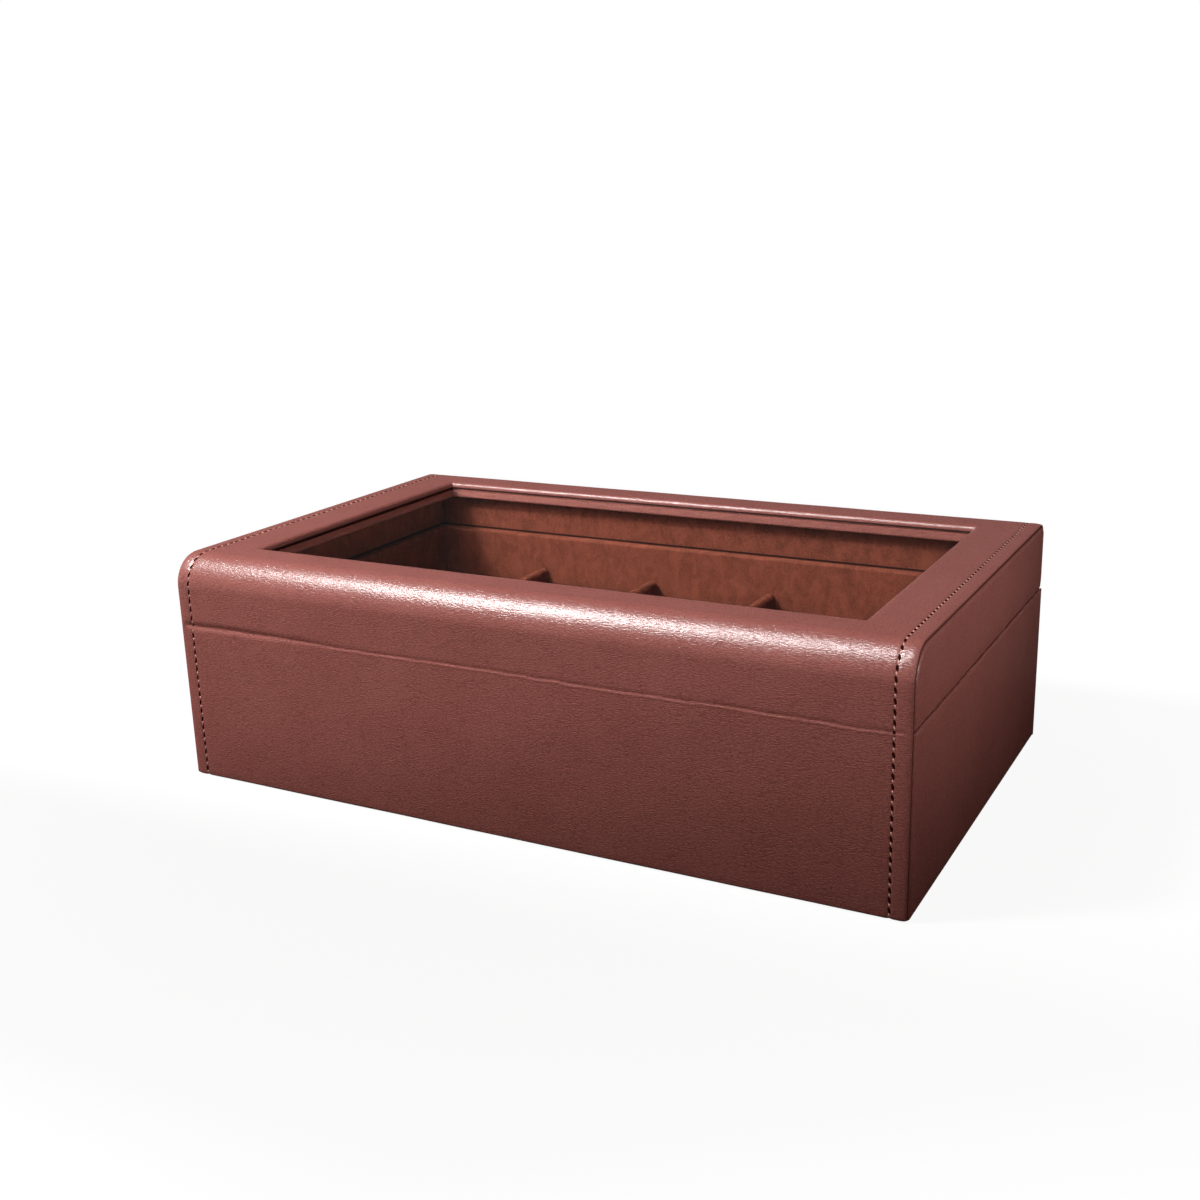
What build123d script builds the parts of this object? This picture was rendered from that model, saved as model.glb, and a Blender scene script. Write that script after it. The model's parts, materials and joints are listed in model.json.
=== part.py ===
from build123d import *
import os
from math import asin, cos, sin, sqrt

# Watch box with a glazed lid and a drawer. Sizes are in millimetres.
# The origin is the centre of the underside. X runs along the hinge, Y runs from the
# drawer front (negative) to the hinge side (positive), and Z points up.

# Outside
box_width = 325.0
box_depth = 196.0
box_height = 100.0
parting_height = 69.8
parting_gap = 0.3
hinge_edge_radius = 13.4
front_edge_radius = 5.0

# Coverings
leather_thickness = 1.4
side_panel_thickness = 2.4
side_panel_rounding = 1.9
side_panel_groove = 0.5
parting_rounding = 0.7
wrap_setback = 0.3
leather_lift = 0.4
leather_hem_radius = 1.0
rim_thickness = 1.0
felt_thickness = 1.0
felt_margin = 4.0

# Boards
bottom_board_thickness = 4.0
lid_board_thickness = 12.0
lid_lining_thickness = 1.6
collar_clearance = 0.4
base_board_thickness = lid_board_thickness + lid_lining_thickness + collar_clearance
deck_thickness = 3.0
deck_tongue = 4.0

# Tray
liner_thickness = 4.6
liner_rise = 4.2
liner_rounding = 1.5
floor_pad_thickness = 1.5
watch_columns = 3
watch_rows = 2
cell_width = 56.2
divider_thickness = 5.5
divider_height = 23.0
divider_rounding = 2.5
halving_clearance = 0.1

# Cushions
cushion_width = 46.0
cushion_length = 66.0
cushion_height = 22.6
cushion_corner_lift = 4.0
cushion_side_bulge = 3.2
cushion_crown_share = 0.2
cushion_end_width = 33.0
cushion_end_height = 9.0
cushion_shoulder = 7.5
cushion_shoulder_width = 43.5
cushion_shoulder_height = 17.5

# Glazed lid
side_rail_width = 26.5
hinge_rail_width = 26.5
front_rail_width = 20.0
glass_recess = 3.0
glass_thickness = 3.0
glass_rebate = 6.0
glass_clearance = 0.5
retainer_thickness = 4.0
window_rounding = 1.1
retainer_rounding = 0.8

# Magnets hidden under the rim leather
magnet_radius = 4.0
magnet_thickness = 3.0
magnet_clearance = 0.05
magnet_spacing = 200.0
magnet_setback = 6.0

# Drawer
drawer_bay_height = 24.5
drawer_reveal = 0.7
drawer_front_thickness = 10.0
drawer_front_rounding = 1.1
drawer_side_thickness = 6.0
drawer_side_height = 20.5
drawer_back_thickness = 6.0
drawer_rear_space = 4.6
drawer_slide_gap = 0.3
drawer_top_gap = 0.6
drawer_bottom_thickness = 2.5
drawer_bottom_lift = 0.6
drawer_bottom_tongue = 3.0
drawer_lining_thickness = 1.0
drawer_travel = 120.0
guide_thickness = 1.2
guide_height = 10.0
stop_width = 6.0
stop_drop = 2.2
stop_length = 120.0

# Drawer knob and its screw
knob_reach = 13.0
knob_foot_radius = 5.5
knob_foot_thickness = 1.6
knob_neck_radius = 3.4
knob_head_radius = 7.5
knob_head_start = 6.4
knob_edge_width = 3.0
screw_radius = 2.0
screw_clearance = 0.05
screw_hole_radius = 2.3
screw_bite = 6.5
screw_end_space = 0.8
screw_head_radius = 3.8
screw_head_height = 2.4
screw_socket_radius = 1.3
screw_socket_depth = 1.4
counterbore_clearance = 0.3
counterbore_depth = 3.0

# Places worked out from the sizes
outer_x = box_width / 2
outer_y = box_depth / 2
frame_x = outer_x - side_panel_thickness
frame_y = outer_y - leather_thickness
wrap_x = outer_x - wrap_setback
panel_inset = leather_thickness + side_panel_groove
base_top = parting_height - parting_gap / 2
lid_bottom = parting_height + parting_gap / 2
wall_top = base_top - rim_thickness
wall_inner_x = frame_x - base_board_thickness
wall_inner_y = frame_y - base_board_thickness
floor_top = felt_thickness + bottom_board_thickness
deck_bottom = floor_top + drawer_bay_height
deck_top = deck_bottom + deck_thickness
tray_floor = deck_top + floor_pad_thickness
tray_x = wall_inner_x - liner_thickness
tray_y = wall_inner_y - liner_thickness
liner_top = parting_height + liner_rise
divider_top = tray_floor + divider_height
cell_length = (2 * tray_y - (watch_rows - 1) * divider_thickness) / watch_rows
column_pitch = cell_width + divider_thickness
row_pitch = cell_length + divider_thickness
lid_wall_x = frame_x - lid_board_thickness
lid_wall_y = frame_y - lid_board_thickness
lining_x = lid_wall_x - lid_lining_thickness
lining_y = lid_wall_y - lid_lining_thickness
window_x = outer_x - side_rail_width
window_back = outer_y - hinge_rail_width
window_front = front_rail_width - outer_y
board_top = box_height - leather_thickness
glass_top = box_height - glass_recess
glass_bottom = glass_top - glass_thickness
retainer_bottom = glass_bottom - retainer_thickness
drawer_face_x = wall_inner_x - drawer_reveal
drawer_face_bottom = floor_top + drawer_reveal
drawer_face_top = deck_bottom - drawer_reveal
drawer_front_back_y = drawer_front_thickness - frame_y
drawer_x = wall_inner_x - guide_thickness - drawer_slide_gap
drawer_bottom = floor_top + drawer_slide_gap
drawer_side_top = drawer_bottom + drawer_side_height
drawer_rear_y = wall_inner_y - drawer_rear_space
drawer_back_y = drawer_rear_y - drawer_back_thickness
panel_bottom = drawer_face_bottom + leather_thickness + drawer_bottom_lift
panel_top = panel_bottom + drawer_bottom_thickness
knob_height = (drawer_face_bottom + drawer_face_top) / 2
magnet_y = magnet_setback - frame_y


def block(x_range, y_range, z_range):
    sizes = [high - low for low, high in (x_range, y_range, z_range)]
    centre = [(high + low) / 2 for low, high in (x_range, y_range, z_range)]
    return Pos(*centre) * Box(*sizes)


def both_ways(half):
    return (-half, half)


def on_side(side, inner, outer):
    return tuple(sorted((side * inner, side * outer)))


def ring(outer, inner, z_range):
    # outer and inner are (half width, front, back) of a rectangle
    solids = [block(both_ways(x), (front, back), z_range) for x, front, back in (outer, inner)]
    return solids[0] - solids[1]


def mitre_prisms(outer, inner, z_range):
    # the four sides of a ring, parted along the lines between its outer and inner corners
    outer_x_half, outer_front, outer_back = outer
    inner_x_half, inner_front, inner_back = inner
    outlines = {
        "front": [(-outer_x_half, outer_front), (outer_x_half, outer_front),
                  (inner_x_half, inner_front), (-inner_x_half, inner_front)],
        "back": [(-outer_x_half, outer_back), (outer_x_half, outer_back),
                 (inner_x_half, inner_back), (-inner_x_half, inner_back)],
        "left": [(-outer_x_half, outer_front), (-outer_x_half, outer_back),
                 (-inner_x_half, inner_back), (-inner_x_half, inner_front)],
        "right": [(outer_x_half, outer_front), (outer_x_half, outer_back),
                  (inner_x_half, inner_back), (inner_x_half, inner_front)],
    }
    low, high = z_range
    prisms = {}
    for name, corners in outlines.items():
        outline = make_face(Polyline(*corners, close=True))
        prisms[name] = extrude(Pos(0, 0, low) * outline, high - low, dir=(0, 0, 1))
    return prisms


def mitred_sides(ring_solid, outer, inner, z_range):
    return {name: ring_solid & prism for name, prism in mitre_prisms(outer, inner, z_range).items()}


def lid_profile(inset, bottom):
    # end view of the lid, with a large round over the hinge and a small one in front
    half = outer_y - inset
    top = box_height - inset
    corners = [(-half, bottom), (half, bottom), (half, top), (-half, top)]
    outline = make_face(Polyline(*corners, close=True))
    upper = outline.vertices().sort_by(Axis.Y)[-2:].sort_by(Axis.X)
    outline = fillet(upper[0], front_edge_radius - inset)
    back_corner = outline.vertices().sort_by(Axis.X)[-2:].sort_by(Axis.Y)[-1]
    outline = fillet(back_corner, hinge_edge_radius - inset)
    return Plane.YZ * outline


def lid_form(inset, bottom, half_length):
    return extrude(lid_profile(inset, bottom), half_length, both=True)


def disc(radius, low, high):
    return Pos(0, 0, low) * Cylinder(radius, high - low, align=(Align.CENTER, Align.CENTER, Align.MIN))


def base_boards():
    bottom = block(both_ways(frame_x), both_ways(frame_y), (felt_thickness, floor_top))
    deck = block(both_ways(wall_inner_x + deck_tongue), both_ways(wall_inner_y + deck_tongue),
                 (deck_bottom, deck_top))
    back = block(both_ways(wall_inner_x), (wall_inner_y, frame_y), (floor_top, wall_top)) - deck
    front = block(both_ways(wall_inner_x), (-frame_y, -wall_inner_y), (deck_bottom, wall_top))
    front = front - deck - magnet_row(wall_top - magnet_thickness, wall_top, magnet_clearance)
    boards = {"base_bottom_board": bottom, "deck_board": deck, "base_wall_back": back,
              "base_front_rail": front}
    for name, side in (("left", -1), ("right", 1)):
        wall = block(on_side(side, wall_inner_x, frame_x), both_ways(frame_y), (floor_top, wall_top))
        boards["base_wall_" + name] = wall - deck
    return boards


def magnet_row(low, high, clearance):
    centres = [Pos(x, magnet_y, 0) for x in both_ways(magnet_spacing / 2)]
    magnets = [centre * disc(magnet_radius + clearance, low, high) for centre in centres]
    return Compound(magnets)


def base_coverings():
    lower = (leather_lift, base_top)
    back = block(both_ways(wrap_x), (frame_y, outer_y), lower)
    hem = back.edges().filter_by(Axis.X).sort_by(Axis.Z)[:2].sort_by(Axis.Y)[-1]
    back = fillet(hem, leather_hem_radius)
    opening = block(both_ways(wall_inner_x), (-outer_y, -frame_y), (floor_top, deck_bottom))
    front = block(both_ways(wrap_x), (-outer_y, -frame_y), lower) - opening
    frame = (frame_x, -frame_y, frame_y)
    collar = (wall_inner_x, -wall_inner_y, wall_inner_y)
    pieces = {
        "base_back_leather": back,
        "base_front_leather": front,
        "base_rim_leather": ring(frame, collar, (wall_top, base_top)),
        "bottom_felt": block(both_ways(frame_x - felt_margin), both_ways(frame_y - felt_margin),
                             (0, felt_thickness)),
    }
    for name, side in (("left", -1), ("right", 1)):
        panel = block(on_side(side, frame_x, outer_x), both_ways(outer_y - panel_inset), lower)
        pieces["base_side_leather_" + name] = soften_panel(panel, side, base_top)
    return pieces


def outer_edges(panel, side):
    faces = panel.faces().sort_by(Axis.X)
    outer_face = faces[-1] if side > 0 else faces[0]
    return outer_face.edges()


def soften_panel(panel, side, parting_z):
    # rounds the outer edges, less at the parting line so that the lid and the base meet closely
    parted = [edge for edge in outer_edges(panel, side) if abs(edge.center().Z - parting_z) < parting_gap]
    panel = fillet(parted, parting_rounding)
    others = [edge for edge in outer_edges(panel, side)
              if abs(edge.center().Z - parting_z) > 2 * parting_rounding]
    return fillet(others, side_panel_rounding)


def tray():
    outer = (wall_inner_x, -wall_inner_y, wall_inner_y)
    inner = (tray_x, -tray_y, tray_y)
    z_range = (deck_top, liner_top)
    collar = ring(outer, inner, z_range)
    collar = fillet(collar.faces().sort_by(Axis.Z)[-1].edges(), liner_rounding)
    pieces = {}
    for name, liner in mitred_sides(collar, outer, inner, z_range).items():
        pieces["tray_liner_" + name] = liner
    pieces["tray_floor_pad"] = block(both_ways(tray_x), both_ways(tray_y), (deck_top, tray_floor))
    pieces.update(dividers())
    return pieces


def divider_places():
    first = tray_x - cell_width - divider_thickness / 2
    return [first - column_pitch * index for index in range(watch_columns)]


def rounded_board(x_range, y_range):
    board = block(x_range, y_range, (tray_floor, divider_top))
    long_axis = Axis.X if x_range[1] - x_range[0] > y_range[1] - y_range[0] else Axis.Y
    top_edges = board.faces().sort_by(Axis.Z)[-1].edges().filter_by(long_axis)
    return fillet(top_edges, divider_rounding)


def dividers():
    # the boards are halved into each other: the short ones run over, the long one under
    half = divider_thickness / 2
    notch = half + halving_clearance
    middle = (tray_floor + divider_top) / 2
    cross = rounded_board(both_ways(tray_x), both_ways(half))
    pieces = {}
    for index, place in enumerate(divider_places()):
        board = rounded_board((place - half, place + half), both_ways(tray_y))
        pieces[f"tray_divider_{index + 1}"] = board - block(
            (place - half, place + half), both_ways(notch), (tray_floor, middle + halving_clearance))
        cross = cross - block((place - notch, place + notch), both_ways(half), (middle, divider_top))
    pieces["tray_cross_divider"] = cross
    return pieces


def cushion_section(width, low, high, offset):
    # flat below, with bowed sides and a crowned top
    half = width / 2
    shoulder = half - cushion_side_bulge / 2
    crown = high - (high - low) * cushion_crown_share
    base = Line((-shoulder, low), (shoulder, low))
    right = ThreePointArc((shoulder, low), (half, (low + crown) / 2), (shoulder, crown))
    top = ThreePointArc((shoulder, crown), (0, high), (-shoulder, crown))
    left = ThreePointArc((-shoulder, crown), (-half, (low + crown) / 2), (-shoulder, low))
    plane = Plane(origin=(0, offset, 0), x_dir=(1, 0, 0), z_dir=(0, -1, 0))
    return plane * make_face([base, right, top, left])


def cushion():
    # a small pillow: full in the middle, drawn in and lifted towards its two sewn ends
    end = cushion_length / 2
    shoulder = end - cushion_shoulder
    stations = [
        (end, cushion_end_width, cushion_corner_lift, cushion_corner_lift + cushion_end_height),
        (shoulder, cushion_shoulder_width, 0, cushion_shoulder_height),
        (0, cushion_width, 0, cushion_height),
        (-shoulder, cushion_shoulder_width, 0, cushion_shoulder_height),
        (-end, cushion_end_width, cushion_corner_lift, cushion_corner_lift + cushion_end_height),
    ]
    sections = [cushion_section(width, low, high, y) for y, width, low, high in stations]
    above_floor = block(both_ways(cushion_width), both_ways(cushion_length), (0, 2 * cushion_height))
    return loft(sections) & above_floor


def cushions():
    pieces = {}
    pillow = cushion()
    for row in range(watch_rows):
        for column in range(watch_columns):
            x = tray_x - cell_width / 2 - column_pitch * column
            y = tray_y - cell_length / 2 - row_pitch * row
            pieces[f"cushion_{row * watch_columns + column + 1}"] = Pos(x, y, tray_floor) * pillow
    return pieces


def lid_frame():
    frame = (frame_x, -frame_y, frame_y)
    board_window = (window_x + leather_thickness, window_front - leather_thickness,
                    window_back + leather_thickness)
    rebate = (window_x + glass_rebate, window_front - glass_rebate, window_back + glass_rebate)
    form = lid_form(leather_thickness, lid_bottom, frame_x)
    rail_range = (glass_bottom, board_top)
    rails = ring(frame, board_window, rail_range) & form
    rails = rails - block(both_ways(rebate[0]), rebate[1:], (glass_bottom, glass_top))
    wall_inner = (lid_wall_x, -lid_wall_y, lid_wall_y)
    wall_range = (lid_bottom + rim_thickness, glass_bottom)
    walls = mitred_sides(ring(frame, wall_inner, wall_range) & form, frame, wall_inner, wall_range)
    pockets = magnet_row(wall_range[0], wall_range[0] + magnet_thickness, magnet_clearance)
    walls["front"] = walls["front"] - pockets
    pieces = {}
    for name, rail in mitred_sides(rails, frame, board_window, rail_range).items():
        pieces["lid_top_rail_" + name] = rail
        pieces["lid_wall_" + name] = walls[name]
    return pieces


def glazing():
    glass_edge = glass_rebate - glass_clearance
    pane = block(both_ways(window_x + glass_edge), (window_front - glass_edge, window_back + glass_edge),
                 (glass_bottom, glass_top))
    outer = (lid_wall_x, -lid_wall_y, lid_wall_y)
    window = (window_x, window_front, window_back)
    z_range = (retainer_bottom, glass_bottom)
    strips = {
        "front": (both_ways(lid_wall_x), (-lid_wall_y, window_front)),
        "back": (both_ways(lid_wall_x), (window_back, lid_wall_y)),
        "left": ((-lid_wall_x, -window_x), both_ways(lid_wall_y)),
        "right": ((window_x, lid_wall_x), both_ways(lid_wall_y)),
    }
    pieces = {"glass_pane": pane}
    for name, prism in mitre_prisms(outer, window, z_range).items():
        strip = block(*strips[name], z_range)
        # the lower edge next to the window is the one nearest the middle of the lid
        lower_edges = strip.faces().sort_by(Axis.Z)[0].edges()
        inner_edge = min(lower_edges, key=lambda edge: edge.center().X ** 2 + edge.center().Y ** 2)
        pieces["glass_retainer_" + name] = fillet(inner_edge, retainer_rounding) & prism
    return pieces


def lid_coverings():
    # one skin runs up the front, over the top and down the hinge side, and turns into the window
    skin = lid_form(0, lid_bottom, wrap_x) - lid_form(leather_thickness, lid_bottom, wrap_x)
    window = block(both_ways(window_x), (window_front, window_back), (glass_top, box_height))
    lip = ring((window_x + leather_thickness, window_front - leather_thickness,
                window_back + leather_thickness),
               (window_x, window_front, window_back), (glass_top, board_top))
    skin = skin - window + lip
    rim_edges = [edge for edge in skin.faces().sort_by(Axis.Z)[-1].edges()
                 if abs(edge.center().X) <= window_x and window_front <= edge.center().Y <= window_back]
    frame = (frame_x, -frame_y, frame_y)
    lining_face = (lining_x, -lining_y, lining_y)
    wall_face = (lid_wall_x, -lid_wall_y, lid_wall_y)
    rim_top = lid_bottom + rim_thickness
    pieces = {
        "lid_wrap_leather": fillet(rim_edges, window_rounding),
        "lid_rim_leather": ring(frame, lining_face, (lid_bottom, rim_top)),
        "lid_lining": ring(wall_face, lining_face, (rim_top, retainer_bottom)),
    }
    for name, side in (("left", -1), ("right", 1)):
        panel = extrude(Pos(side * frame_x, 0, 0) * lid_profile(panel_inset, lid_bottom),
                        side_panel_thickness, dir=(side, 0, 0))
        pieces["lid_side_leather_" + name] = soften_panel(panel, side, lid_bottom)
    return pieces


def magnets():
    lid_pocket = lid_bottom + rim_thickness
    return {
        "base_magnets": magnet_row(wall_top - magnet_thickness, wall_top, 0),
        "lid_magnets": magnet_row(lid_pocket, lid_pocket + magnet_thickness, 0),
    }


def drawer_guides():
    # strips that keep the drawer straight, and a stop that holds it from falling out
    guides = [block(on_side(side, wall_inner_x - guide_thickness, wall_inner_x),
                    (drawer_front_back_y + drawer_slide_gap, wall_inner_y),
                    (floor_top, floor_top + guide_height)) for side in (-1, 1)]
    stop_face = drawer_back_y - drawer_travel - drawer_slide_gap
    stop = block(both_ways(stop_length / 2), (stop_face - stop_width, stop_face),
                 (deck_bottom - stop_drop, deck_bottom))
    return {"drawer_guides": Compound(guides), "drawer_stop": stop}


def drawer_front():
    face_z = (drawer_face_bottom, drawer_face_top)
    board_x = drawer_face_x - leather_thickness
    board_z = (drawer_face_bottom + leather_thickness, drawer_face_top - leather_thickness)
    board = block(both_ways(board_x), (-frame_y, drawer_front_back_y), board_z)
    skin = block(both_ways(drawer_face_x), (-outer_y, drawer_front_back_y), face_z)
    skin = fillet(skin.faces().sort_by(Axis.Y)[0].edges(), drawer_front_rounding) - board
    hole = knob_axis() * disc(screw_hole_radius, -drawer_front_thickness - leather_thickness, 0)
    bore = knob_axis() * disc(screw_head_radius + counterbore_clearance,
                              -drawer_front_thickness - leather_thickness,
                              counterbore_depth - drawer_front_thickness - leather_thickness)
    return board - hole - bore, skin - hole


def drawer_box():
    board, skin = drawer_front()
    side_y = (drawer_front_back_y, drawer_rear_y)
    inner_x = drawer_x - drawer_side_thickness
    panel = block(both_ways(inner_x + drawer_bottom_tongue),
                  (drawer_front_back_y - drawer_bottom_tongue, drawer_back_y + drawer_bottom_tongue),
                  (panel_bottom, panel_top))
    back = block(both_ways(inner_x), (drawer_back_y, drawer_rear_y),
                 (drawer_bottom, deck_bottom - drawer_top_gap))
    pieces = {
        "drawer_front_board": board - panel,
        "drawer_front_leather": skin,
        "drawer_back": back - panel,
        "drawer_bottom": panel,
        "drawer_lining": block(both_ways(inner_x), (drawer_front_back_y, drawer_back_y),
                               (panel_top, panel_top + drawer_lining_thickness)),
    }
    for name, side in (("left", -1), ("right", 1)):
        board = block(on_side(side, inner_x, drawer_x), side_y, (drawer_bottom, drawer_side_top))
        pieces["drawer_side_" + name] = board - panel
    return pieces


def knob_axis():
    # turns upwards into outwards, at the middle of the drawer's leather face
    return Pos(0, -outer_y, knob_height) * Rot(90, 0, 0)


def knob():
    head_edge = knob_head_start + knob_edge_width
    cove = knob_foot_radius - knob_neck_radius
    cove_end = knob_foot_thickness + cove
    cove_middle = cove * (1 - sqrt(0.5))
    dome_height = knob_reach - head_edge
    dome_radius = (knob_head_radius ** 2 + dome_height ** 2) / (2 * dome_height)
    half_turn = asin(knob_head_radius / dome_radius) / 2
    dome_middle = (dome_radius * sin(half_turn), knob_reach - dome_radius * (1 - cos(half_turn)))
    outline = [
        Line((0, 0), (knob_foot_radius, 0)),
        Line((knob_foot_radius, 0), (knob_foot_radius, knob_foot_thickness)),
        ThreePointArc((knob_foot_radius, knob_foot_thickness),
                      (knob_neck_radius + cove_middle, knob_foot_thickness + cove_middle),
                      (knob_neck_radius, cove_end)),
        Line((knob_neck_radius, cove_end), (knob_neck_radius, knob_head_start)),
        Line((knob_neck_radius, knob_head_start), (knob_head_radius, knob_head_start)),
        Line((knob_head_radius, knob_head_start), (knob_head_radius, head_edge)),
        ThreePointArc((knob_head_radius, head_edge), dome_middle, (0, knob_reach)),
        Line((0, knob_reach), (0, 0)),
    ]
    body = revolve(Plane.XZ * make_face(outline), Axis.Z)
    bore = disc(screw_radius + screw_clearance, 0, screw_bite + screw_end_space)
    return knob_axis() * (body - bore)


def knob_screw():
    seat = counterbore_depth - drawer_front_thickness - leather_thickness
    shank = disc(screw_radius, seat, screw_bite)
    head = disc(screw_head_radius, seat - screw_head_height, seat)
    socket_bottom = seat - screw_head_height
    socket = disc(screw_socket_radius, socket_bottom, socket_bottom + screw_socket_depth)
    return knob_axis() * (shank + head - socket)


def all_parts():
    parts = {}
    for group in (base_boards(), base_coverings(), tray(), cushions(), lid_frame(), glazing(),
                  lid_coverings(), magnets(), drawer_guides(), drawer_box()):
        parts.update(group)
    parts["drawer_knob"] = knob()
    parts["drawer_knob_screw"] = knob_screw()
    return parts


os.makedirs("parts", exist_ok=True)
for node, shape in all_parts().items():
    export_step(shape, f"parts/{node}.step")
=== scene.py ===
import bpy
import json
import math
import random
from functools import partial
from mathutils import Matrix, Vector, noise


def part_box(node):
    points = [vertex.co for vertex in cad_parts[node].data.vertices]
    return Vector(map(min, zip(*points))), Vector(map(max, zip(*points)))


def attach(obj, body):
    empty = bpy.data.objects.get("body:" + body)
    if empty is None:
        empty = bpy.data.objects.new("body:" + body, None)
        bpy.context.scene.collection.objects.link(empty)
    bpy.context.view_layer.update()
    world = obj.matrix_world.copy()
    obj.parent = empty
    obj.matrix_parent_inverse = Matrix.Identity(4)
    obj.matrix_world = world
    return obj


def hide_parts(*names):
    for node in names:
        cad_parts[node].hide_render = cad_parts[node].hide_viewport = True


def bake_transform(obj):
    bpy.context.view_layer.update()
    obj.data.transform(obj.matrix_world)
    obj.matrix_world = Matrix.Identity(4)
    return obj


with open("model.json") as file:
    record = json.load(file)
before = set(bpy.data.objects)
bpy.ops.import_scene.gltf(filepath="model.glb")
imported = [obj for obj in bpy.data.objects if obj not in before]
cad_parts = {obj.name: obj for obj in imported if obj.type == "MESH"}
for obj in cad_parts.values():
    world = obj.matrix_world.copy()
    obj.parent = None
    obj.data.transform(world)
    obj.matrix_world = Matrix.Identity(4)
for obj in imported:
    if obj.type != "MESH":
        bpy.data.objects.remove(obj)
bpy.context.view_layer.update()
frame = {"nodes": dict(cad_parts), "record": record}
mm = 0.001


# helpers for nodes and meshes

def fromHex(code):
    # an sRGB hex value as linear colour
    channels = [int(code[i:i + 2], 16) / 255 for i in (1, 3, 5)]
    return [c / 12.92 if c <= 0.04045 else ((c + 0.055) / 1.055) ** 2.4 for c in channels] + [1.0]


def addNode(tree, kind, settings=None, values=None, links=None):
    # a Mix node of colours has its share in socket 0 and its two colours in sockets 6 and 7
    node = tree.nodes.new("ShaderNode" + kind)
    for name, value in (settings or {}).items():
        setattr(node, name, value)
    for socket, value in (values or {}).items():
        node.inputs[socket].default_value = value
    for socket, source in (links or {}).items():
        tree.links.new(source, node.inputs[socket])
    return node


def newMaterial(name):
    # the material, and addNode for its own tree
    material = bpy.data.materials.new(name)
    material.use_nodes = True
    material.node_tree.nodes.clear()
    return material, partial(addNode, material.node_tree)


def placeInMm(add, stretch=(1.0, 1.0, 1.0)):
    # the object's own coordinates in millimetres, drawn out along each axis whose stretch is under 1
    place = add("TexCoord").outputs["Object"]
    return add("VectorMath", {"operation": "MULTIPLY"}, {1: [s / mm for s in stretch]},
               {0: place}).outputs[0]


def smooth(x):
    x = min(1.0, max(0.0, x))
    return x * x * (3 - 2 * x)


def bell(distance, width):
    return math.exp(-(distance / width) ** 2)


def makePiece(name, points, faces, material, sharpAngle=50):
    mesh = bpy.data.meshes.new(name)
    mesh.from_pydata([tuple(p) for p in points], [], faces)
    mesh.validate()
    mesh.polygons.foreach_set("use_smooth", [True] * len(mesh.polygons))
    mesh.set_sharp_from_angle(angle=math.radians(sharpAngle))
    mesh.materials.append(material)
    piece = bpy.data.objects.new(name, mesh)
    bpy.context.scene.collection.objects.link(piece)
    return piece


# materials

eased = {"interpolation_type": "SMOOTHSTEP"}


def mottled(add, place, colours, pattern, span=(0.35, 0.65)):
    # two tones that go over into each other: gives the colour, and the pattern behind it
    patches = add("TexNoise", {}, pattern, {"Vector": place}).outputs["Fac"]
    share = add("MapRange", {}, {"From Min": span[0], "From Max": span[1]},
                {"Value": patches}).outputs[0]
    colour = add("Mix", {"data_type": "RGBA"}, {6: fromHex(colours["deep"]),
                 7: fromHex(colours["main"])}, {0: share}).outputs[2]
    return colour, patches


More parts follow.
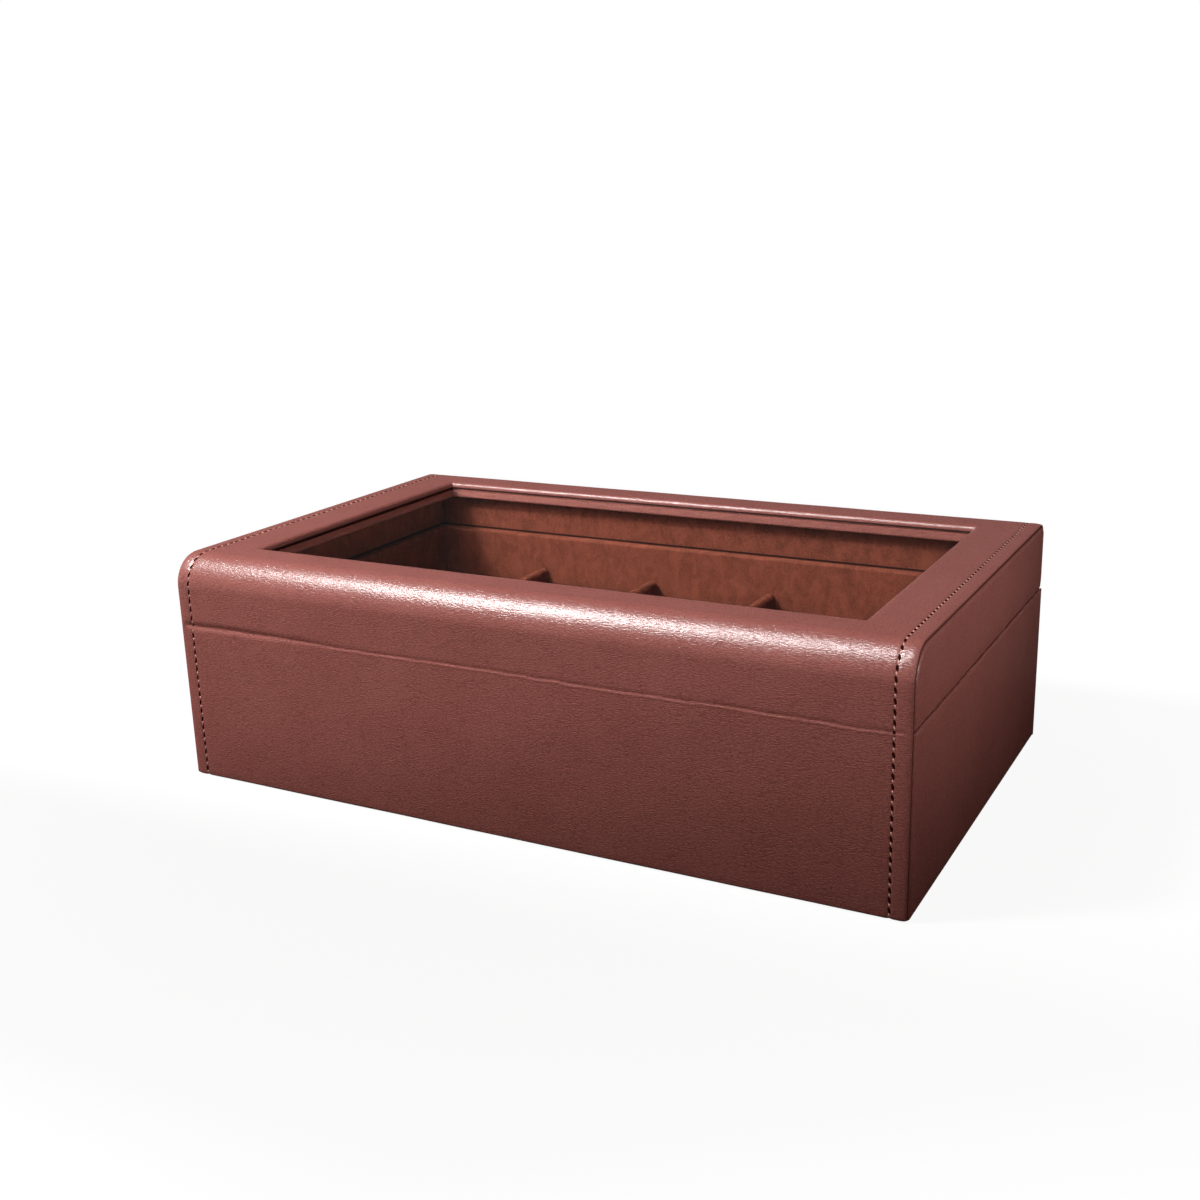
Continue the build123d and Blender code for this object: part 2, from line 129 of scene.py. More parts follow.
def leather(name, colours, stretch, grain):
    # Cowhide with a pressed grain and a satin finish: a soft, broad shine, broken up by pebbles
    # and by short creases that run along the hide; the hollows between the pebbles carry painted
    # shade
    material, add = newMaterial(name)
    inMm = placeInMm(add, stretch)
    even = placeInMm(add)
    # the hide's own wander, so that creases aren't ruled lines
    wander = add("TexNoise", {}, {"Scale": 1 / grain["wanderSize"], "Detail": 2.0},
                 {"Vector": even})
    centred = add("VectorMath", {"operation": "SUBTRACT"}, {1: [0.5] * 3},
                  {0: wander.outputs["Color"]}).outputs[0]
    push = add("VectorMath", {"operation": "SCALE"}, {"Scale": grain["wander"]},
               {0: centred}).outputs[0]
    warped = add("VectorMath", {"operation": "ADD"}, {}, {0: inMm, 1: push}).outputs[0]
    creases = add("TexNoise", {"noise_type": "RIDGED_MULTIFRACTAL"},
                  {"Scale": 1 / grain["creaseSize"], "Detail": 3.0, "Roughness": 0.55,
                   "Lacunarity": 2.1, "Offset": 0.9, "Gain": 1.4}, {"Vector": warped})
    pebbles = add("TexVoronoi", {"feature": "DISTANCE_TO_EDGE"},
                  {"Scale": 1 / grain["pebbleSize"], "Randomness": 1.0}, {"Vector": warped})
    domes = add("MapRange", eased, {"From Max": grain["domeWidth"]},
                {"Value": pebbles.outputs["Distance"]}).outputs[0]
    fine = add("TexNoise", {}, {"Scale": 1 / grain["poreSize"], "Detail": 2.0}, {"Vector": even})
    patches = add("TexNoise", {}, {"Scale": 1 / grain["patchSize"], "Detail": 2.0},
                  {"Vector": even})
    strong = add("MapRange", {}, {"From Min": 0.36, "From Max": 0.66,
                 "To Min": grain["patchLeast"]}, {"Value": patches.outputs["Fac"]}).outputs[0]
    creaseHeight = add("Math", {"operation": "MULTIPLY"}, {},
                       {0: creases.outputs["Fac"], 1: strong}).outputs[0]
    coarse = add("Bump", {}, {"Strength": 1.0, "Distance": grain["creaseDepth"] * mm},
                 {"Height": creaseHeight})
    middle = add("Bump", {}, {"Strength": 1.0, "Distance": grain["pebbleDepth"] * mm},
                 {"Height": domes, "Normal": coarse.outputs[0]})
    surface = add("Bump", {}, {"Strength": 1.0, "Distance": grain["poreDepth"] * mm},
                  {"Height": fine.outputs["Fac"], "Normal": middle.outputs[0]})
    body = mottled(add, even, colours, {"Scale": 1 / grain["toneSize"], "Detail": 3.0,
                   "Roughness": 0.6})[0]
    # painted shade: darker lines in the hollows between the pebbles, strongest where the grain is
    lines = add("MapRange", {}, {"From Max": grain["lineWidth"],
                "To Min": grain["lineShare"], "To Max": 0.0},
                {"Value": pebbles.outputs["Distance"]}).outputs[0]
    hollowShade = add("Math", {"operation": "MULTIPLY"}, {}, {0: lines, 1: strong}).outputs[0]
    coloured = add("Mix", {"data_type": "RGBA"}, {7: fromHex(colours["hollowShade"])},
                   {0: hollowShade, 6: body}).outputs[2]
    shine, dull = grain["roughness"]
    gloss = add("MapRange", {}, {"From Min": 0.3, "From Max": 0.7, "To Min": shine,
                "To Max": dull}, {"Value": fine.outputs["Fac"]}).outputs[0]
    shader = add("BsdfPrincipled", {}, {"IOR": 1.5, "Specular IOR Level": 0.2},
                 {"Base Color": coloured, "Roughness": gloss, "Normal": surface.outputs[0]})
    add("OutputMaterial", {}, {}, {"Surface": shader.outputs[0]})
    return material


def suede(name, colours, nap):
    # Split hide with a brushed nap: matt, with paler strokes and tufts painted in as the sheen of
    # pile that leans towards the eye
    material, add = newMaterial(name)
    inMm = placeInMm(add)
    leaning = add("VectorMath", {"operation": "MULTIPLY"}, {1: nap["lean"]}, {0: inMm}).outputs[0]
    # painted sheen: paler and darker strokes of the brushed nap
    colour = mottled(add, leaning, colours, {"Scale": 1 / nap["strokeSize"], "Detail": 3.0,
                     "Roughness": 0.55, "Distortion": 0.8})[0]
    pile = add("TexNoise", {}, {"Scale": 1 / nap["pileSize"], "Detail": 3.0,
               "Roughness": 0.7}, {"Vector": leaning})
    # painted sheen: paler tufts where the pile would catch the light
    sheenTips = add("MapRange", {}, {"From Min": 0.4, "From Max": 0.75, "To Max": 0.6},
               {"Value": pile.outputs["Fac"]}).outputs[0]
    paintedSheen = add("Mix", {"data_type": "RGBA"}, {7: fromHex(colours["sheenTips"])},
                 {0: sheenTips, 6: colour}).outputs[2]
    bump = add("Bump", {}, {"Strength": 1.0, "Distance": nap["pileDepth"] * mm},
               {"Height": pile.outputs["Fac"]})
    shader = add("BsdfPrincipled", {}, {"Roughness": 0.95, "IOR": 1.45,
                 "Specular IOR Level": 0.0, "Sheen Weight": nap["sheen"],
                 "Sheen Roughness": 0.45, "Sheen Tint": fromHex(colours["sheenTips"])},
                 {"Base Color": paintedSheen, "Normal": bump.outputs[0]})
    add("OutputMaterial", {}, {}, {"Surface": shader.outputs[0]})
    return material


def flecked(name, colours, fleck, finish):
    # a dull surface on which one fine fleck gives both the colour and the bump
    material, add = newMaterial(name)
    pattern = dict(fleck["noise"], Scale=1 / fleck["size"])
    colour, fibres = mottled(add, placeInMm(add), colours, pattern, fleck["range"])
    bump = add("Bump", {}, {"Strength": fleck["bump"], "Distance": fleck["depth"] * mm},
               {"Height": fibres})
    shader = add("BsdfPrincipled", {}, finish, {"Base Color": colour, "Normal": bump.outputs[0]})
    add("OutputMaterial", {}, {}, {"Surface": shader.outputs[0]})
    return material


def plateGlass():
    # Float glass, polished, with an anti-reflective coat: clear, faintly green, with only a trace of
    # sharp reflection. Shadow rays pass straight through, as light does through a thin flat pane
    tint, coat = fromHex("#fbfdfc"), 0.88
    material, add = newMaterial("coatedFloatGlass")
    glass = add("BsdfPrincipled", {}, {"Base Color": tint, "Roughness": 0.0, "IOR": 1.5,
                "Transmission Weight": 1.0})
    bent = add("BsdfRefraction", {}, {"Color": tint, "Roughness": 0.0, "IOR": 1.5})
    coated = add("MixShader", {}, {0: coat}, {1: glass.outputs[0], 2: bent.outputs[0]})
    clear = add("BsdfTransparent", {}, {"Color": fromHex("#f4f8f6")})
    rays = add("LightPath")
    mixed = add("MixShader", {}, {}, {0: rays.outputs["Is Shadow Ray"],
                1: coated.outputs[0], 2: clear.outputs[0]})
    add("OutputMaterial", {}, {}, {"Surface": mixed.outputs[0]})
    return material


def brushedNickel():
    # Turned brass with a satin nickel plate: warm grey metal with fine rings from the lathe
    material, add = newMaterial("satinNickelPlate")
    inMm = placeInMm(add)
    # the lathe leaves rings 0.3 mm apart, which show here as fine streaks across the turning
    rings = add("TexNoise", {}, {"Scale": 1 / 0.6, "Detail": 2.0}, {"Vector": inMm})
    gloss = add("MapRange", {}, {"To Min": 0.24, "To Max": 0.38},
                {"Value": rings.outputs["Fac"]}).outputs[0]
    bump = add("Bump", {}, {"Strength": 0.4, "Distance": 0.01 * mm},
               {"Height": rings.outputs["Fac"]})
    shader = add("BsdfPrincipled", {}, {"Base Color": fromHex("#c9c2b8"),
                 "Metallic": 1.0}, {"Roughness": gloss, "Normal": bump.outputs[0]})
    add("OutputMaterial", {}, {}, {"Surface": shader.outputs[0]})
    return material


def blackCard():
    # Matt black card
    material, add = newMaterial("blackCard")
    shader = add("BsdfDiffuse", {}, {"Color": fromHex("#0a0a0a")})
    add("OutputMaterial", {}, {}, {"Surface": shader.outputs[0]})
    return material


# the third colour is painted shade for the hollows between the pebbles
leatherColours = {"main": "#8f544d", "deep": "#8b5049", "hollowShade": "#552621"}
leatherGrain = {  # sizes and depths in mm
    "wanderSize": 5.0, "wander": 1.4,
    "creaseSize": 0.95, "creaseDepth": 0.042,  # drawn coarser than the real ones, to show
    "pebbleSize": 0.75, "pebbleDepth": 0.03, "domeWidth": 0.35,
    # painted shade: the dark lines below darken the grain's hollows
    "lineWidth": 0.14, "lineShare": 0.5,  # dark lines between the pebbles
    "poreSize": 0.32, "poreDepth": 0.022,
    "patchSize": 9.0, "patchLeast": 0.65,  # patches where the grain is fainter
    "toneSize": 34.0, "roughness": (0.25, 0.36),
}
# the tips colour is painted in as sheen of the pile, and is also the tint of the shader's own sheen
suedeColours = {"main": "#71392c", "deep": "#582b21", "sheenTips": "#874938"}
# sizes in mm; the pile is drawn as tufts, coarser than its fibres, to show
suedeNap = {"lean": [1.0, 1.0, 0.6], "strokeSize": 5.0, "pileSize": 0.6, "pileDepth": 0.08,
            "sheen": 0.04}

# the grain runs along the box in the wrap, and upright in the end panels
wrapLeather = leather("satinGrainLeather", leatherColours, (0.32, 1.0, 1.0), leatherGrain)
panelLeather = leather("satinGrainLeatherUpright", leatherColours, (1.0, 1.0, 0.4),
                       dict(leatherGrain, creaseDepth=0.04))
liningSuede = suede("brushedSuede", suedeColours, suedeNap)
# the pillows' tips colour is painted sheen too, and the tint of their own sheen
pillowSuede = suede("brushedSuedePillow", {"main": "#804838", "deep": "#6c3a2c", "sheenTips": "#96604e"},
                    dict(suedeNap, lean=[1.0, 0.4, 1.0], strokeSize=6.0))
glassMaterial = plateGlass()
nickelMaterial = brushedNickel()

# Medium density fibreboard, sanded: pale brown, dull, with a fine fleck of short fibres
boardMaterial = flecked("sandedFibreboard", {"main": "#a98860", "deep": "#8a6a4a"},
                        {"size": 1.2, "noise": {"Detail": 4.0, "Roughness": 0.7},
                         "range": (0.35, 0.65), "bump": 0.6, "depth": 0.06},
                        {"Roughness": 0.82, "IOR": 1.5})

# Pressed wool felt: dark, matt, with a faint bloom at the edges, and its matted fibres drawn as
# clumps, coarser than they are, to show
feltMaterial = flecked("pressedFelt", {"main": "#4a2f2a", "deep": "#2c1a17"},
                       {"size": 0.9, "noise": {"Detail": 5.0, "Roughness": 0.75, "Distortion": 1.5},
                        "range": (0.0, 1.0), "bump": 1.0, "depth": 0.2},
                       {"Roughness": 0.97, "Specular IOR Level": 0.15, "Sheen Weight": 0.4,
                        "Sheen Roughness": 0.5})

# Waxed linen thread: twisted plies with a dull wax shine. The painted shade inside an awl's slot, the
# dark edge paint (which also stands in for the shade of the groove beside it) and the painted shade
# of narrow gaps are as finely flecked, and darker
plies = {"size": 0.35, "noise": {"Detail": 2.0}, "range": (0.0, 1.0), "bump": 0.7, "depth": 0.05}
threadMaterial = flecked("waxedLinenThread", {"main": "#d3a196", "deep": "#b07c70"}, plies,
                         {"Roughness": 0.6, "Specular IOR Level": 0.15})
holeShadeMaterial = flecked("awlHoleShadow", {"main": "#33120f", "deep": "#1f0a08"}, plies,
                       {"Roughness": 0.6, "Specular IOR Level": 0.0})
edgePaintAndShadeMaterial = flecked("edgePaintAndGrooveShade", {"main": "#55291f", "deep": "#421d18"}, plies,
                       {"Roughness": 0.6, "Specular IOR Level": 0.1})
gapShadeMaterial = flecked("paintedGapShade", {"main": "#2e120e", "deep": "#1e0a08"}, plies,
                       {"Roughness": 0.6, "Specular IOR Level": 0.05})

nodeMaterials = {
    "leather_grain": wrapLeather, "fibreboard": boardMaterial, "suede_lining": liningSuede,
    "suede_cushion": pillowSuede, "pane_glass": glassMaterial, "underside_felt": feltMaterial,
    "brushed_nickel": nickelMaterial, "magnet_nickel": nickelMaterial,
}
for part in frame["record"]["subparts"]:
    cadMesh = frame["nodes"][part["node"]].data
    cadMesh.materials.clear()
    cadMesh.materials.append(nodeMaterials[part["material_slot"]])
print("materials made:", len(bpy.data.materials))


# the leather skin that runs over the lid and down the hinge side in one piece

wrapValues = {  # lengths in mm
    "columnStep": 2.5, "rowStep": 2.3,
    "holeStep": 3.68,  # between rows beside the window
    "hingeBand": 4.0,  # above and below the crease, where rows are only fineStep apart
    "fineStep": 0.35,
    "thickness": 1.4,
    "frontHem": 0.7, "backHem": 1.0,  # radii of the turned lower edges
    "frontRound": 5.0, "hingeRound": 13.4,
    "endInset": 0.4,  # the skin stops short of the panel, which leaves a narrow groove
    "endRound": 3.0,  # over this length the two ends roll down by endRoll
    "endRoll": 0.7,
    "endDrop": 1.6,  # the cut edge goes down into the groove
    "lipRound": 2.2,  # rounding where the skin turns into the window
    "lipTuck": 0.04,  # the lip is drawn in this much above its foot, so that it shades as a round
    "creaseWander": 0.45,  # how far the hinge crease strays from its line
    "creaseWaves": ((17, 1.0, 0.45), (5.3, 0.0, 0.2)),  # length, start and share of each
    "creaseNoise": (7, 3.1, 1.3),  # the same, of its finer wander
    "valleyFrom": 60, "valleyOver": 70,  # from this x on, the crease widens to a soft valley
    "valleyDepth": 0.55, "valleyWidth": (1.6, 1.1),  # above and below the crease
    "ledgeDepth": 0.28, "ledgeWidth": (0.9, 0.35),  # elsewhere it is a fine ledge
    "ledgeLost": 0.75,  # the share of it that the valley takes
    "broken": (0.75, 0.5, 9),  # the ledge comes and goes: mean, swing and length
    "brinkHeight": 0.14, "brinkBelow": 0.75, "brinkWidth": 0.45,
    "unevenness": 0.10,  # soft waves of the hide over the boards
    "waveSize": (31, 27, 23),
    "stitchInset": 6.7,  # from each end to its row of stitches
    "stitchGroove": 0.22, "grooveWidth": 0.75,
    "besideStitch": (1.6, 1.1, 0.7, 0.35, 0, -0.35, -0.7, -1.1, -1.6),  # columns in the groove
    "bendReach": 3.8,  # the hinge bends this far above and below the crease
    "bendDepth": 0.3,
}
quarterTurn = (0, 15, 30, 45, 60, 75, 90)  # degrees, the steps of a rounded edge

wrapLow, wrapHigh = [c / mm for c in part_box("lid_wrap_leather")]
backLow, backHigh = [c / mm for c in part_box("base_back_leather")]
# the hole in the skin, from the strips that hold the pane
window = {
    "x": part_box("glass_retainer_right")[0].x / mm,
    "front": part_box("glass_retainer_front")[1].y / mm,
    "back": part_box("glass_retainer_back")[0].y / mm,
    "glass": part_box("glass_pane")[1].z / mm,
}
hingeHeight = (wrapLow.z + backHigh.z) / 2


def arcPoints(centreY, centreZ, radius, start, end, count):
    steps = [math.radians(start + (end - start) * i / count) for i in range(count + 1)]
    return [(centreY + radius * math.cos(a), centreZ + radius * math.sin(a)) for a in steps]


def spread(start, end, step):
    count = max(1, round(abs(end - start) / step))
    return [start + (end - start) * i / count for i in range(count + 1)]


def lipPlaces(edge, outward):
    # from the flat skin to the foot of the lip, going towards the hole: (place, drop below the top)
    r = wrapValues["lipRound"]
    places = [(edge - outward * r * (1 - math.sin(math.radians(a))),
               r * (1 - math.cos(math.radians(a)))) for a in (0, 22.5, 45, 67.5)]
    tucked = edge - outward * wrapValues["lipTuck"]
    return places + [(tucked, r), (edge, wrapHigh.z - window["glass"])]


def wrapRows():
    # one row for each place along the end view, from the front hem over the top to the back hem:
    # (y, z, depth into the window or None)
    v = wrapValues
    half, top, low = wrapHigh.y, wrapHigh.z, backLow.z
    hem, foot, front, hinge = v["frontHem"], v["backHem"], v["frontRound"], v["hingeRound"]
    above, below = hingeHeight + v["hingeBand"], hingeHeight - v["hingeBand"]
    frontLip = lipPlaces(window["front"], 1)
    backLip = lipPlaces(window["back"], -1)
    overFront = spread(front - half, frontLip[0][0], v["rowStep"])[1:-1]
    overHole = spread(window["front"], window["back"], v["holeStep"])[1:-1]
    overBack = spread(backLip[0][0], half - hinge, v["rowStep"])[1:]
    # the front, up to its rounded edge
    rows = [(v["thickness"] - half, wrapLow.z, None)]
    rows += [(y, z, None) for y, z in arcPoints(hem - half, wrapLow.z + hem, hem, 270, 180, 4)]
    rows += [(-half, z, None) for z in spread(wrapLow.z + hem, top - front, v["rowStep"])[1:]]
    rows += [(y, z, None) for y, z in arcPoints(front - half, top - front, front, 180, 90, 8)[1:]]
    # the top, down into the window and up again
    rows += [(y, top, None) for y in overFront]
    rows += [(place, top, index) for index, (place, drop) in enumerate(frontLip)]
    rows += [(y, top, len(frontLip)) for y in overHole]
    rows += [(place, top, index) for index, (place, drop) in reversed(list(enumerate(backLip)))]
    rows += [(y, top, None) for y in overBack]
    # the rounded hinge edge, and down the back over the crease
    rows += [(y, z, None) for y, z in arcPoints(half - hinge, top - hinge, hinge, 90, 0, 20)[1:]]
    rows += [(half, z, None) for z in spread(top - hinge, above, v["rowStep"])[1:]]
    rows += [(half, z, None) for z in spread(above, below, v["fineStep"])[1:]]
    rows += [(half, z, None) for z in spread(below, low + foot, v["rowStep"])[1:]]
    rows += [(y, z, None) for y, z in arcPoints(half - foot, low + foot, foot, 0, -90, 5)[1:]]
    rows += [(half - v["thickness"], low, None)]
    return rows


def wrapColumns():
    # (x, drop at the rounded end, depth into the window or None)
    v = wrapValues
    end, r = wrapHigh.x - v["endInset"], v["endRound"]
    columns = [(end, v["endDrop"], None)]
    for angle in quarterTurn[1:]:
        a = math.radians(angle)
        columns.append((end - r * (1 - math.cos(a)), v["endRoll"] * (1 - math.sin(a)), None))
    stitchX, beside = wrapHigh.x - v["stitchInset"], v["besideStitch"]
    lip = lipPlaces(window["x"], -1)
    columns += [(x, 0, None) for x in spread(end - r, stitchX + beside[0], v["columnStep"])[1:]]
    columns += [(stitchX + d, 0, None) for d in beside[1:]]
    columns += [(x, 0, None) for x in spread(stitchX + beside[-1], lip[0][0], v["columnStep"])[1:-1]]
    columns += [(x, 0, index) for index, (x, drop) in enumerate(lip)]
    columns += [(x, 0, len(lip)) for x in spread(window["x"], 0, v["columnStep"])[1:]]
    return [(-x, drop, depth) for x, drop, depth in columns[:-1]] + list(reversed(columns))


def creaseWave(x):
    waves = sum(math.sin(x / length + start) * share
                for length, start, share in wrapValues["creaseWaves"])
    length, start, share = wrapValues["creaseNoise"]
    return wrapValues["creaseWander"] * (waves + share * noise.noise(Vector((x / length, start, 0))))


def skinOffset(x, y, z):
    # how far the hide stands out from its plain form, in mm
    v = wrapValues
    waves = Vector([c / size for c, size in zip((x, y, z), v["waveSize"])])
    out = v["unevenness"] * noise.noise(waves)
    fromStitch = abs(x) - (wrapHigh.x - v["stitchInset"])
    out -= v["stitchGroove"] * bell(fromStitch, v["grooveWidth"])
    if y > wrapHigh.y - 0.01:
        above = z - hingeHeight - creaseWave(x)
        side = 0 if above > 0 else 1
        valley = smooth((x - v["valleyFrom"]) / v["valleyOver"])
        mean, swing, length = v["broken"]
        broken = mean + swing * noise.noise(Vector((x / length, length, 0)))
        ledge = v["ledgeDepth"] * (1 - v["ledgeLost"] * valley) * broken
        out -= v["valleyDepth"] * valley * bell(above, v["valleyWidth"][side])
        out -= ledge * bell(above, v["ledgeWidth"][side])
        brink = bell(above + v["brinkBelow"], v["brinkWidth"])
        out += v["brinkHeight"] * (1 - valley) * broken * brink
    return out


def buildWrap():
    rows, columns = wrapRows(), wrapColumns()
    lipDrop = [drop for place, drop in lipPlaces(window["x"], -1)]
    hole = len(lipDrop)
    points, faces = [], []
    for index, (y, z, rowDepth) in enumerate(rows):
        before, after = rows[max(0, index - 1)], rows[min(len(rows) - 1, index + 1)]
        along = Vector((0, after[0] - before[0], after[1] - before[1])).normalized()
        normal = Vector((0, -along.z, along.y))
        for x, drop, columnDepth in columns:
            lip = 0
            if rowDepth is not None and columnDepth is not None:
                lip = lipDrop[min(rowDepth, columnDepth, hole - 1)]
            out = skinOffset(x, y, z) if lip == 0 and drop == 0 else 0
            points.append((Vector((x, y, z - lip)) + normal * (out - drop)) * mm)
    width = len(columns)
    for i in range(len(rows) - 1):
        for j in range(width - 1):
            depths = (rows[i][2], rows[i + 1][2], columns[j][2], columns[j + 1][2])
            if None not in depths and min(depths) >= hole - 1:
                continue  # the open window
            a = i * width + j
            faces.append((a, a + 1, a + width + 1, a + width))
    return points, faces


wrapPoints, wrapFaces = buildWrap()
leatherWrap = makePiece("leatherWrap", wrapPoints, wrapFaces, wrapLeather, 80)
# the cut ends of the skin have dark edge paint, which also stands in as painted shade of the narrow
# groove beside them
leatherWrap.data.materials.append(edgePaintAndShadeMaterial)
cutEnd = (wrapHigh.x - wrapValues["endInset"] - 0.01) * mm
for flat in leatherWrap.data.polygons:
    if max(abs(leatherWrap.data.vertices[i].co.x) for i in flat.vertices) > cutEnd:
        flat.material_index = 1
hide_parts("lid_wrap_leather", "base_back_leather")
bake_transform(leatherWrap)
print("wrap made:", len(wrapPoints), "points")


# a dark strip where the pane meets the turned-in skin: painted shade of the narrow gap there

paneShadeValues = {"height": 0.75, "width": 0.45, "tucked": 0.3, "shoulder": (0.6, 0.9), "foot": 0.02}


def squareHoop(name, sections):
    # a closed strip round a rectangle, from its four edges: (half width, front, back, height)
    points, faces = [], []
    for x, front, back, z in sections:
        corners = ((-x, front, z), (x, front, z), (x, back, z), (-x, back, z))
        points += [Vector(p) * mm for p in corners]
    for ring in range(4):
        after = (ring + 1) % 4
        for k in range(4):
            following = (k + 1) % 4
            faces.append((ring * 4 + k, ring * 4 + following, after * 4 + following, after * 4 + k))
    # the strip is drawn in the dark colour of painted gap shade
    return makePiece(name, points, faces, gapShadeMaterial, 30)


def buildPaneShade():
    v = paneShadeValues
    across, up = v["shoulder"]
    profile = ((v["width"], v["foot"]), (v["width"] * across, v["height"] * up),
               (-v["tucked"], v["height"]), (-v["tucked"], 0))
    paneShade = squareHoop("paneGapShade", [(window["x"] - inset, window["front"] + inset,
                                    window["back"] - inset, window["glass"] + height)
                                   for inset, height in profile])
    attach(paneShade, "lid")


buildPaneShade()
print("seal made")


# a dark strip behind the top of the tray's collar: painted shade of the narrow gap there, seen as the
# dark line round the inside

collarShadeValues = {"out": 0.10, "thickness": 0.18, "below": 3.0, "above": 0.6}


def buildCollarShade():
    v = collarShadeValues
    low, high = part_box("tray_liner_front")[0] / mm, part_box("tray_liner_back")[1] / mm
    near, far = v["out"], v["out"] + v["thickness"]
    profile = ((near, -v["below"]), (near, v["above"]), (far, v["above"]), (far, -v["below"]))
    collarShade = squareHoop("collarGapShade", [(high.x + out, low.y - out, high.y + out, high.z + height)
                                         for out, height in profile])
    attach(collarShade, "base")


buildCollarShade()
print("ribbon made")


# padded leather panels on the two ends

panelValues = {  # lengths in mm
    # how far each edge's rounding reaches in from the outline, and how deep it is
    "edge": (1.4, 1.4), "lidHead": (2.6, 1.7), "baseHead": (1.6, 0.8), "baseFoot": (1.4, 1.4),
    "lidFoot": (11.0, 1.2),  # the lid's lower edge rolls in over a long way
    "spread": 0.6,  # the panel goes a little way under the wrap's cut end
    "sharpCorner": 0.5, "footCorner": 0.8,
    "insideRound": 1.5,  # how much tighter the lid's two upper corners are than the wrap's
    "border": 1.5,  # a flat border keeps the shading of the large face even
    "cornerStep": 15,  # degrees
    "runStep": 3.0,  # between points along a straight edge
}


def roundedRing(corners, insets, depths):
    # corners: (y, z, radius), anticlockwise; each edge moves in by its own inset, and the depth
    # goes over from one edge's to the next one's round the corner; gives (y, z, depth)
    ring = []
    count = len(corners)
    plain = [Vector(c[:2]) for c in corners]
    runs = [(plain[(i + 1) % count] - plain[i]).normalized() for i in range(count)]
    inward = [Vector((-run.y, run.x)) for run in runs]
    moved = [plain[i] + inward[i - 1] * insets[i - 1] + inward[i] * insets[i] for i in range(count)]
    radii = [max(corners[i][2] - (insets[i - 1] + insets[i]) / 2, 0.04) for i in range(count)]
    for i in range(count):
        turns = round(90 / panelValues["cornerStep"]) if corners[i][2] > 1 else 4
        centre = moved[i] + (runs[i] - runs[i - 1]) * radii[i]
        for k in range(turns + 1):
            a = k / turns * math.pi / 2
            p = centre - inward[i - 1] * math.cos(a) * radii[i] - inward[i] * math.sin(a) * radii[i]
            ring.append((p.x, p.y, depths[i - 1] * math.cos(a) ** 2 + depths[i] * math.sin(a) ** 2))
        # straight run to the next corner
        following = (i + 1) % count
        first = moved[i] + runs[i] * radii[i]
        last = moved[following] - runs[i] * radii[following]
        pieces = max(1, round((plain[following] - plain[i]).length / panelValues["runStep"]))
        for k in range(1, pieces):
            p = first.lerp(last, k / pieces)
            ring.append((p.x, p.y, depths[i]))
    return ring


def buildPanel(node):
    v = panelValues
    low, high = [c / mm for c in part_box(node)]
    side = 1 if low.x > 0 else -1
    outer, inner = (high.x, low.x) if side > 0 else (low.x, high.x)
    low.y, high.y = low.y - v["spread"], high.y + v["spread"]
    sharp, foot = v["sharpCorner"], v["footCorner"]
    if node.startswith("lid"):
        high.z += v["spread"]
        radii = (sharp, sharp, wrapValues["hingeRound"] - v["insideRound"],
                 wrapValues["frontRound"] - v["insideRound"])
        edges = (v["lidFoot"], v["edge"], v["lidHead"], v["lidHead"])
    else:
        radii = (foot, foot, sharp, sharp)
        edges = (v["baseFoot"], v["edge"], v["baseHead"], v["edge"])
    outline = ((low.y, low.z), (high.y, low.z), (high.y, high.z), (low.y, high.z))
    corners = [(y, z, radius) for (y, z), radius in zip(outline, radii)]
    flat = [0] * 4
    rings = [[(inner, y, z) for y, z, depth in roundedRing(corners, flat, flat)]]
    for angle in quarterTurn:
        a = math.radians(angle)
        insets = [reach * (1 - math.cos(a)) for reach, depth in edges]
        depths = [depth * (1 - math.sin(a)) for reach, depth in edges]
        ring = roundedRing(corners, insets, depths)
        rings.append([(outer - side * depth, y, z) for y, z, depth in ring])
    insets = [reach + v["border"] for reach, depth in edges]
    rings.append([(outer, y, z) for y, z, depth in roundedRing(corners, insets, flat)])
    points = [Vector(p) * mm for ring in rings for p in ring]
    count = len(rings[0])
    faces = [list(range((len(rings) - 1) * count, len(rings) * count)), list(range(count))[::-1]]
    for r in range(len(rings) - 1):
        for i in range(count):
            a, b = r * count + i, r * count + (i + 1) % count
            faces.append([a, b, b + count, a + count])
    if side < 0:
        faces = [face[::-1] for face in faces]
    panel = makePiece(node.replace("_leather", "Panel"), points, faces, panelLeather, 60)
    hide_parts(node)
    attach(panel, "lid" if node.startswith("lid") else "base")


for node in ("lid_side_leather_left", "lid_side_leather_right", "base_side_leather_left",
             "base_side_leather_right"):
    buildPanel(node)
print("end panels made")


# saddle stitches near both ends of the wrap

stitchValues = {  # lengths in mm
    "pitch": 3.85,
    "clearOfHem": 3.4,
    "holeLength": 2.3, "holeWidth": 1.1,
    "holeShear": 0.25,  # how far the slot's ends lean to the sides
    "holeFloor": 0.03, "holeRim": 0.10, "holeSides": 12,
    "threadLength": 1.8, "threadRadius": 0.3,
    "threadDip": 0.34,  # how far the thread's ends go down into the slots
    "threadSink": 0.02,
    "slant": 24,  # degrees from the row, as an angled awl leaves it
    "unevenSlant": 0.12,  # radians
    "rings": 7, "spokes": 8,
}


def wrapPath():
    # the skin's end view as (length so far, y, z)
    path, run = [], 0.0
    for y, z, depth in wrapRows():
        if path:
            run += math.hypot(y - path[-1][1], z - path[-1][2])
        path.append((run, y, z))
    return path


def onSkin(path, x, run):
    # the point of the skin at x and at this length of its end view, and the ways along it and out
    for (a, ay, az), (b, by, bz) in zip(path, path[1:]):
        if a <= run <= b and b > a:
            t = (run - a) / (b - a)
            along = Vector((0, by - ay, bz - az)).normalized()
            normal = Vector((0, -along.z, along.y))
            y, z = ay + (by - ay) * t, az + (bz - az) * t
            return Vector((x, y, z)) + normal * skinOffset(x, y, z), along, normal
    return None


